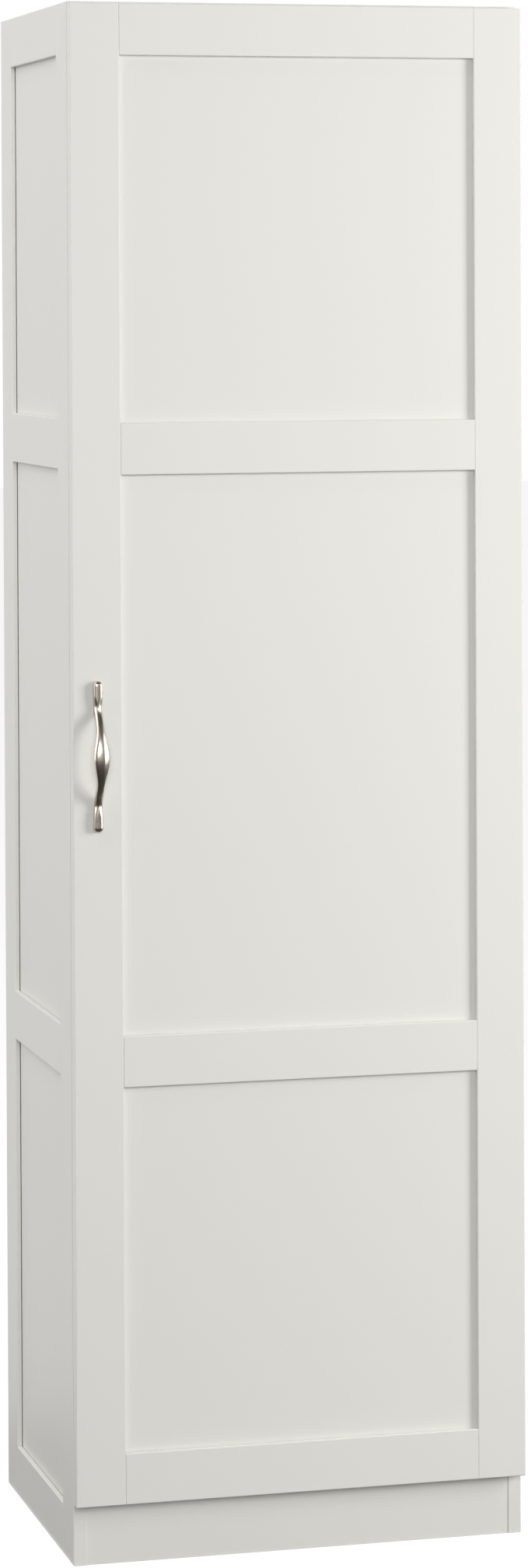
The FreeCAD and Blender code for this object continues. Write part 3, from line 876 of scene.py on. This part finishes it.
bumpers_low, bumpers_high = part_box("door_bumpers")
bumper_radius = (bumpers_high.x - bumpers_low.x) / 2
bumper_height = bumpers_high.y - bumpers_low.y
bumper_turn = np.linspace(0, math.pi / 2, bumper_dome_rows)
bumper_rise = bumper_rim_share + (1 - bumper_rim_share) * np.sin(bumper_turn)
bumper_profile = np.stack(
    (
        np.concatenate(((0, 0), bumper_height * bumper_rise)),
        np.concatenate(((0, bumper_radius), bumper_radius * np.cos(bumper_turn))),
    ),
    axis=-1,
)
soft_plastic, tree, shader = start_finish("bumper_soft_plastic", bumper_roughness)
mask = add_drift(tree, shader, bumper_colour, bumper_drift_per_metre, bumper_drift)
vary_roughness(tree, shader, mask, bumper_roughness, bumper_sheen_change)
bumper_grids = []
for level in (bumpers_low.z + bumper_radius, bumpers_high.z - bumper_radius):
    bumper_start = ((bumpers_low.x + bumpers_high.x) / 2, bumpers_high.y, level)
    bumper_grids.append(turned(bumper_profile, bumper_columns, bumper_start, (0, -1, 0)))
bumpers = shell_piece("door_bumpers_domed", bumper_grids, soft_plastic)
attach(bumpers, "carcass")
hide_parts("door_bumpers")

# Handle
# A cast pull in satin nickel, whose ends lie flat on the door. From them it climbs steeply through a
# narrow waist and bows out to a wide middle. Flat facets run down its front, a little to the left of its
# middle line: a drop at each end and an almond across the middle.
nickel_colour = (0.62, 0.565, 0.49, 1.0)
nickel_drift = 0.05
nickel_roughness = 0.29
nickel_roughness_change = 0.06
nickel_marks_per_metre = (2600.0, 2600.0, 260.0)
nickel_mark_height = 0.0000025
bar_half_thickness = 0.0046
bar_stand_off = 0.0038
steepest_distance = 0.046
foot_distance = 0.057
waist_distance = 0.036
waist_half_width = 0.0043
end_half_width = 0.0056
facet_turn = math.radians(10)
facet_reach = 0.0049
left_bevel_turn = math.radians(50)
right_bevel_turn = math.radians(30)
facet_crossing = 0.057
drop_half_width = 0.0029
drop_reach = 0.013
ramp_half_width = 0.0020
ramp_reach = 0.012
almond_half_width = 0.0043
almond_reach = 0.032
facet_shift = 0.0006
almond_shift = 0.0016
crossing_half_width = 0.0001
back_bevel_share = 0.82
bar_power = 9.0
bar_crease = 60.0
bar_columns = 96
bar_rows = 180
cap_rows = 14

handle_low, handle_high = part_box("handle")
handle_x = (handle_low.x + handle_high.x) / 2
handle_z = (handle_low.z + handle_high.z) / 2
half_length = (handle_high.z - handle_low.z) / 2
middle_half_width = (handle_high.x - handle_low.x) / 2
door_front = handle_high.y
bar_bow = door_front - handle_low.y - bar_half_thickness - bar_stand_off


def bow_share(distance):
    """Share of the bow at a distance from the middle: two parabolas that meet at the steepest place."""
    near = 1 - distance ** 2 / (steepest_distance * foot_distance)
    rest = np.maximum(0, foot_distance - distance)
    far = rest ** 2 / ((foot_distance - steepest_distance) * foot_distance)
    return np.where(distance < steepest_distance, near, far)


def front_facet(distance):
    """How far the front facet reaches left and right at a distance from the middle. Its half width is a
    drop that closes at the crossing, a narrow run on the climb and the almond, each a soft step, and all
    of them are shifted to the left."""
    drop = drop_half_width * soft_step(facet_crossing, facet_crossing + drop_reach, distance)
    ramp = ramp_half_width * (1 - soft_step(facet_crossing - ramp_reach, facet_crossing, distance))
    middle = 1 - soft_step(0, almond_reach, distance)
    half_width = crossing_half_width + drop + ramp + (almond_half_width - ramp_half_width) * middle
    shift = facet_shift + almond_shift * middle
    return half_width + shift, half_width - shift


def handle_bar():
    """The bar as level rings along a bowed path. Each ring is a rounded polygon of a front facet, a second
    one turned a little to the left, two front bevels, two sides and a rounded back. The end rings shrink
    as a quarter circle, and the door flattens their backs."""
    straight = half_length - end_half_width
    cap_turn = np.linspace(0, math.pi / 2, cap_rows)[1:]
    cap = straight + end_half_width * np.sin(cap_turn)
    place = np.concatenate((-cap[::-1], np.linspace(-straight, straight, bar_rows), cap))
    shrink = np.concatenate((np.cos(cap_turn)[::-1], np.ones(bar_rows), np.cos(cap_turn)))
    distance = np.abs(place)
    stand_off = bar_stand_off + bar_bow * bow_share(distance)
    narrowing = (waist_half_width - middle_half_width) * soft_step(0, waist_distance, distance)
    widening = (end_half_width - waist_half_width) * soft_step(waist_distance, half_length, distance)
    half_width = middle_half_width + narrowing + widening
    to_left, to_right = front_facet(distance)
    left_bevel = to_left * math.sin(left_bevel_turn) + bar_half_thickness * math.cos(left_bevel_turn)
    right_bevel = to_right * math.sin(right_bevel_turn) + bar_half_thickness * math.cos(right_bevel_turn)
    back_bevel = back_bevel_share * (half_width + bar_half_thickness) * math.sqrt(0.5)
    front = math.pi / 2
    turns = np.linspace(0, 2 * np.pi, bar_columns, endpoint=False)
    sides = (
        (front, bar_half_thickness),
        (front + facet_turn, facet_reach),
        (front - right_bevel_turn, right_bevel[:, None]),
        (front + left_bevel_turn, left_bevel[:, None]),
        (0, half_width[:, None]),
        (math.pi, half_width[:, None]),
        (-front, bar_half_thickness),
        (-math.pi / 4, back_bevel[:, None]),
        (-3 * math.pi / 4, back_bevel[:, None]),
    )
    reach = rounded_reach(turns, sides, bar_power) * shrink[:, None]
    x = handle_x + reach * np.cos(turns)
    y = door_front - stand_off[:, None] - reach * np.sin(turns)
    z = handle_z + place[:, None] + np.zeros_like(x)
    return np.stack((x, np.minimum(y, door_front), z), axis=-1)


satin_nickel = metal_finish(
    "satin_nickel", nickel_colour, nickel_drift, nickel_roughness, nickel_roughness_change,
    nickel_marks_per_metre, nickel_mark_height,
)
handle = shell_piece("handle_cast", [handle_bar()], satin_nickel, bar_crease)
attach(handle, "door")
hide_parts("handle")

# Handle screws
# Two plated machine screws through the handle stile into the handle's ends, with their cross heads on
# the door's back.
handle_screw_radius = 0.002
handle_screw_head_radius = 0.004
handle_screw_head_height = 0.0022
handle_screw_half_spacing = 0.064

bolts_low, bolts_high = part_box("handle_screws")
handle_screw_length = bolts_high.y - bolts_low.y - handle_screw_head_height
handle_screw_grids = []
for step in (-1, 1):
    handle_screw_seat = (handle_x, door_back, handle_z + step * handle_screw_half_spacing)
    handle_screw_grids += cross_screw(
        handle_screw_seat, (0, 1, 0), handle_screw_head_radius, handle_screw_head_height,
        handle_screw_radius, handle_screw_length,
    )
handle_screws = shell_piece("handle_screws_crossed", handle_screw_grids, plated_steel)
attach(handle_screws, "door")
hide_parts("handle_screws")

# Floor and white surround
# A pale studio floor that runs out to white for the camera and for reflections, but keeps the soft
# shadow, and a white backdrop behind the object. The room in front is dim overhead, as a studio is above
# its lamps.
floor_half_width = 30.0
floor_light = 0.90
floor_shade = 0.22
floor_bounce = 0.31
room_bands = ((0.01, 0.06), (0.26, 0.36), (0.66, 0.05))
backdrop_start = 0.1


def flat_sheet(name, x, y, z):
    """A flat sheet of the stage between two pairs of limits at a height."""
    corners = [(x[0], y[0], z), (x[1], y[0], z), (x[1], y[1], z), (x[0], y[1], z)]
    mesh = bpy.data.meshes.new(name)
    mesh.from_pydata(corners, [], [(0, 1, 2, 3)])
    sheet = bpy.data.objects.new(name, mesh)
    bpy.context.scene.collection.objects.link(sheet)
    return sheet


def start_stage_finish(name):
    """An empty stage material whose glow is no lamp: the material and its node tree."""
    finish = bpy.data.materials.new(name)
    finish.use_nodes = True
    finish.cycles.emission_sampling = "NONE"
    finish.node_tree.nodes.clear()
    return finish, finish.node_tree


def seen_by(tree):
    """Two masks of the ray in hand: from the camera, and from a reflection or through glass."""
    path = put(tree, "ShaderNodeLightPath", {})
    by_gloss = path.outputs["Is Glossy Ray"]
    by_glass = path.outputs["Is Transmission Ray"]
    return path.outputs["Is Camera Ray"], work_out(tree, "MAXIMUM", by_gloss, by_glass)


extent = (-floor_half_width, floor_half_width)
floor = flat_sheet("floor", extent, extent, cad_box[0].z)
pale_floor, tree = start_stage_finish("pale_floor")
by_camera, mirrored = seen_by(tree)
seen = work_out(tree, "MAXIMUM", by_camera, mirrored)
glow = put(tree, "ShaderNodeEmission", {"Color": (1.0, 1.0, 1.0, 1.0), "Strength": floor_light})
shade = put(tree, "ShaderNodeBsdfDiffuse", {"Color": (floor_shade, floor_shade, floor_shade, 1.0)})
white = put(tree, "ShaderNodeAddShader", {0: glow.outputs[0], 1: shade.outputs[0]})
bounce = put(tree, "ShaderNodeBsdfDiffuse", {"Color": (floor_bounce, floor_bounce, floor_bounce, 1.0)})
both = put(tree, "ShaderNodeMixShader", {0: seen, 1: bounce.outputs[0], 2: white.outputs[0]})
put(tree, "ShaderNodeOutputMaterial", {"Surface": both.outputs[0]})
floor.data.materials.append(pale_floor)

world = bpy.data.worlds.new("studio")
bpy.context.scene.world = world
world.use_nodes = True
tree = world.node_tree
tree.nodes.clear()
by_camera, mirrored = seen_by(tree)
compass = put(tree, "ShaderNodeTexCoord", {})
direction = put(tree, "ShaderNodeSeparateXYZ", {0: compass.outputs["Generated"]})
bands = put(tree, "ShaderNodeValToRGB", {"Fac": direction.outputs["Z"]})
bands.color_ramp.elements.new(0.5)
for stop, (height, brightness) in zip(bands.color_ramp.elements, room_bands):
    stop.position = height
    stop.color = (brightness, brightness, brightness, 1.0)
behind = work_out(tree, "GREATER_THAN", direction.outputs["Y"], backdrop_start)
mirrored_behind = work_out(tree, "MULTIPLY", mirrored, behind)
seen = work_out(tree, "MAXIMUM", by_camera, mirrored_behind)
room = put(tree, "ShaderNodeBackground", {"Color": bands.outputs["Color"], "Strength": 1.0})
backdrop = put(tree, "ShaderNodeBackground", {"Color": (1.0, 1.0, 1.0, 1.0), "Strength": 1.0})
both = put(tree, "ShaderNodeMixShader", {0: seen, 1: room.outputs[0], 2: backdrop.outputs[0]})
put(tree, "ShaderNodeOutputWorld", {"Surface": both.outputs[0]})

# Dark card
# A matt card on the floor round the object, which only reflections see. It gives the metal its dark
# lower half, as a photographer's flag does.
card_half_width = 6.0
card_front = -9.0
card_back = 0.5
card_lift = 0.004
card_colour = (0.055, 0.049, 0.043, 1.0)

card = flat_sheet(
    "dark_card", (-card_half_width, card_half_width), (card_front, card_back), cad_box[0].z + card_lift
)
card_matt, tree = start_stage_finish("card_matt")
matt = put(tree, "ShaderNodeBsdfDiffuse", {"Color": card_colour})
put(tree, "ShaderNodeOutputMaterial", {"Surface": matt.outputs[0]})
card.data.materials.append(card_matt)
card.visible_camera = False
card.visible_diffuse = False
card.visible_shadow = False

# Lamps
# Four soft boxes, each with its spot, its target, its size and its power: a tall one to the right of the
# door, which throws the short shadows, one far off beside the camera, and two for the left side, beside
# it and high above it.
lamp_plan = (
    ("key_right", (2.65, -1.80, 1.52), (0.10, -0.18, 0.82), (1.2, 2.0), 77.0),
    ("front", (-1.2, -5.4, 2.5), (0.0, -0.18, 0.70), (2.2, 2.0), 107.0),
    ("left", (-3.4, 0.6, 1.7), (-0.27, 0.03, 0.60), (2.4, 2.4), 40.0),
    ("high_left", (-2.9, -0.4, 5.2), (-0.27, 0.0, 0.60), (4.0, 4.0), 105.0),
)
for name, spot, target, size, power in lamp_plan:
    lamp = bpy.data.lights.new(name, "AREA")
    lamp.shape = "RECTANGLE"
    lamp.size = size[0]
    lamp.size_y = size[1]
    lamp.energy = power
    holder = bpy.data.objects.new(name, lamp)
    bpy.context.scene.collection.objects.link(holder)
    holder.location = spot
    aim = Vector(target) - Vector(spot)
    holder.rotation_euler = aim.to_track_quat("-Z", "Y").to_euler()
    holder.visible_camera = False

# Camera
# The photograph's view: a long lens at eye height, to the left of the middle, with the picture's window
# moved down.
picture_height = 2017
focal_pixels = 5763.86
eye_row = 482.96
sensor_width = 36.0
eye = Vector((-1.34695, -5.19270, 1.45011))
yaw = math.radians(14.601)
pitch = math.radians(0.890)
roll = math.radians(0.255)

forward = Vector((math.sin(yaw) * math.cos(pitch), math.cos(yaw) * math.cos(pitch), -math.sin(pitch)))
level_right = Vector((math.cos(yaw), -math.sin(yaw), 0.0))
level_down = forward.cross(level_right)
right = math.cos(roll) * level_right + math.sin(roll) * level_down
down = -math.sin(roll) * level_right + math.cos(roll) * level_down
lens = bpy.data.cameras.new("photo_view")
lens.sensor_width = sensor_width
lens.lens = focal_pixels * sensor_width / picture_height
lens.shift_y = (eye_row - picture_height / 2) / picture_height
camera = bpy.data.objects.new("photo_view", lens)
bpy.context.scene.collection.objects.link(camera)
turn = Matrix((right, -down, -forward)).transposed()
camera.matrix_world = Matrix.Translation(eye) @ turn.to_4x4()
bpy.context.scene.camera = camera
bpy.context.scene.view_settings.view_transform = "Standard"
